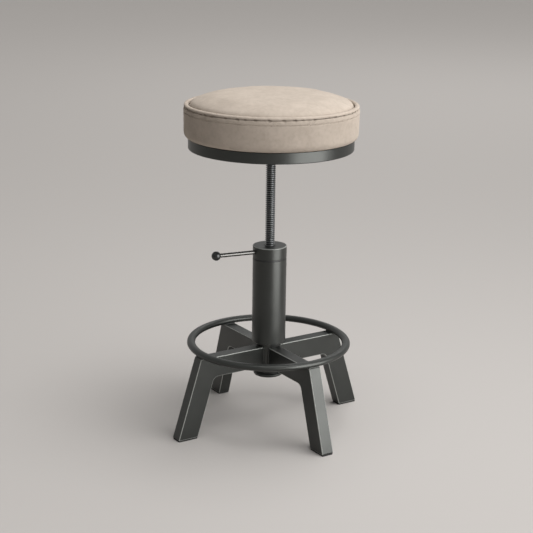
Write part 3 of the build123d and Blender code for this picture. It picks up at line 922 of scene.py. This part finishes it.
def stitches():
    """The row of stitches round the band: a short round-ended thread, radius x sqrt(1 - (2 s - 1)^4)
    along its length s, repeated round the seat."""
    seat, _, high = round_sizes("seat_cushion")
    radius = seat - STITCH_INSET
    along = np.linspace(0, 1, 6)
    size = THREAD_WIDTH / 2 * np.sqrt(1 - (2 * along - 1) ** 4)
    turn = np.arange(6) * TURN / 6
    length = (along - 0.5) * STITCH_LENGTH / radius
    place = np.arange(STITCH_COUNT)[:, None, None] * TURN / STITCH_COUNT + length[None, :, None]
    across = radius + size[None, :, None] * np.cos(turn)
    up = high - STITCH_DROP + size[None, :, None] * np.sin(turn) + 0 * place
    points = np.stack((across * np.cos(place), across * np.sin(place), up), axis=-1)
    one = grid_faces(points.shape[1:3], closed_columns=True)[:, ::-1]
    offsets = np.arange(STITCH_COUNT) * points.shape[1] * points.shape[2]
    faces = (one[None] + offsets[:, None, None]).reshape(-1, 4)
    piece = mesh_piece("seam_stitches", points, faces.tolist())
    dress(piece, "seat", "taupe_velvet")


# Stage, light and camera

def stage():
    """A large plain pale floor."""
    made = material("studio_floor", Roughness=1.0, Specular_IOR_Level=0.0, Base_Color=linear("#bebab7"))[0]
    size = FLOOR_SIZE
    corners = np.array([(-size, -size, 0), (size, -size, 0), (size, size, 0), (-size, size, 0)])
    floor = mesh_piece("studio_floor", corners, [(0, 1, 2, 3)])
    floor.data.materials.append(made)


def softbox(name, place, target, width, height, watts, only_shines=False):
    """A rectangular soft light that faces a point.  One that only shines is seen in glossy coats alone."""
    light = bpy.data.lights.new(name, "AREA")
    light.shape = "RECTANGLE"
    light.size = width
    light.size_y = height
    light.energy = watts
    lamp = bpy.data.objects.new(name, light)
    lamp.location = place
    lamp.rotation_euler = (Vector(target) - Vector(place)).to_track_quat("-Z", "Y").to_euler()
    lamp.visible_camera = False
    lamp.visible_diffuse = not only_shines
    bpy.context.collection.objects.link(lamp)


def lights():
    """Soft boxes on the right, overhead and over the far floor, and a panel that the dark coats mirror,
    in a studio that gives light from the right only and looks evenly pale."""
    softbox("softbox_right", (2.2, -0.75, 1.35), (0, 0, 0.45), 2.2, 1.7, 22)
    softbox("softbox_above", (0.35, -0.1, 2.6), (0, 0, 0), 1.5, 1.5, 25)
    softbox("softbox_back", (0.3, 4.5, 3.6), (0.2, 5.0, 0), 3.0, 2.0, 40)
    softbox("panel_right", (0.72, -0.38, 0.42), (0, 0, 0.42), 0.7, 0.8, 10, only_shines=True)
    world = bpy.data.worlds.new("studio")
    world.use_nodes = True
    tree = world.node_tree
    shine = tree.nodes["Background"]
    way = node(tree, "ShaderNodeTexCoord").outputs["Generated"]
    right = node(tree, "ShaderNodeVectorMath", {0: way, 1: (0.89, 0.12, 0.44)}, operation="DOT_PRODUCT")
    level = node(tree, "ShaderNodeMapRange", {"Value": right.outputs["Value"],
                                              "From Min": 0.0, "From Max": 1.0,
                                              "To Min": 0.02, "To Max": 1.9})
    ray = node(tree, "ShaderNodeLightPath").outputs
    straight = node(tree, "ShaderNodeMath", {0: ray["Is Camera Ray"], 1: ray["Is Glossy Ray"]},
                    operation="MAXIMUM")
    looked = node(tree, "ShaderNodeMath", {0: straight.outputs[0], 1: ray["Is Transmission Ray"]},
                  operation="MAXIMUM")
    shown = node(tree, "ShaderNodeMix", {0: looked.outputs[0], 2: level.outputs["Result"],
                                         3: BACKDROP_LEVEL}, data_type="FLOAT")
    shine.inputs["Color"].default_value = linear("#f4f3f1")
    tree.links.new(shown.outputs[0], shine.inputs["Strength"])
    bpy.context.scene.world = world


def camera():
    """The photograph's camera, as fitted to the seat, column, ring and feet."""
    heading, down, roll = np.radians((CAMERA_HEADING, CAMERA_DOWN, CAMERA_ROLL))
    ahead = Vector((-np.sin(heading) * np.cos(down), np.cos(heading) * np.cos(down), -np.sin(down)))
    level = Vector((np.cos(heading), np.sin(heading), 0))
    upright = level.cross(ahead)
    right = np.cos(roll) * level + np.sin(roll) * upright
    up = np.cos(roll) * upright - np.sin(roll) * level
    lens = bpy.data.cameras.new("camera")
    lens.sensor_width = CAMERA_SENSOR
    lens.lens = CAMERA_LENS
    view = bpy.data.objects.new("camera", lens)
    view.matrix_world = Matrix((right, up, -ahead)).transposed().to_4x4()
    view.location = CAMERA_PLACE
    bpy.context.collection.objects.link(view)
    bpy.context.scene.camera = view


for leg_place, leg_angle in LEG_ANGLES.items():
    leg_piece(leg_place, leg_angle)
welds()
foot_ring()
column()
lock()
lead_screw()
seat_pan()
cushion_band()
rim_roll()
top_pad()
stitches()
paint("foot_rubber", *[f"foot_pad_{leg_place}" for leg_place in LEG_ANGLES])
paint("bronze", "column_nut", "collet")
paint("acetal", "thrust_washer", "hub_plug")
paint("nylon", "guide_bush")
paint("zinc_steel", "end_washer", "end_bolt", "seat_bolts", "tee_nuts")
paint("plywood", "seat_board")
stage()
lights()
camera()
bpy.context.scene.view_settings.view_transform = "Standard"
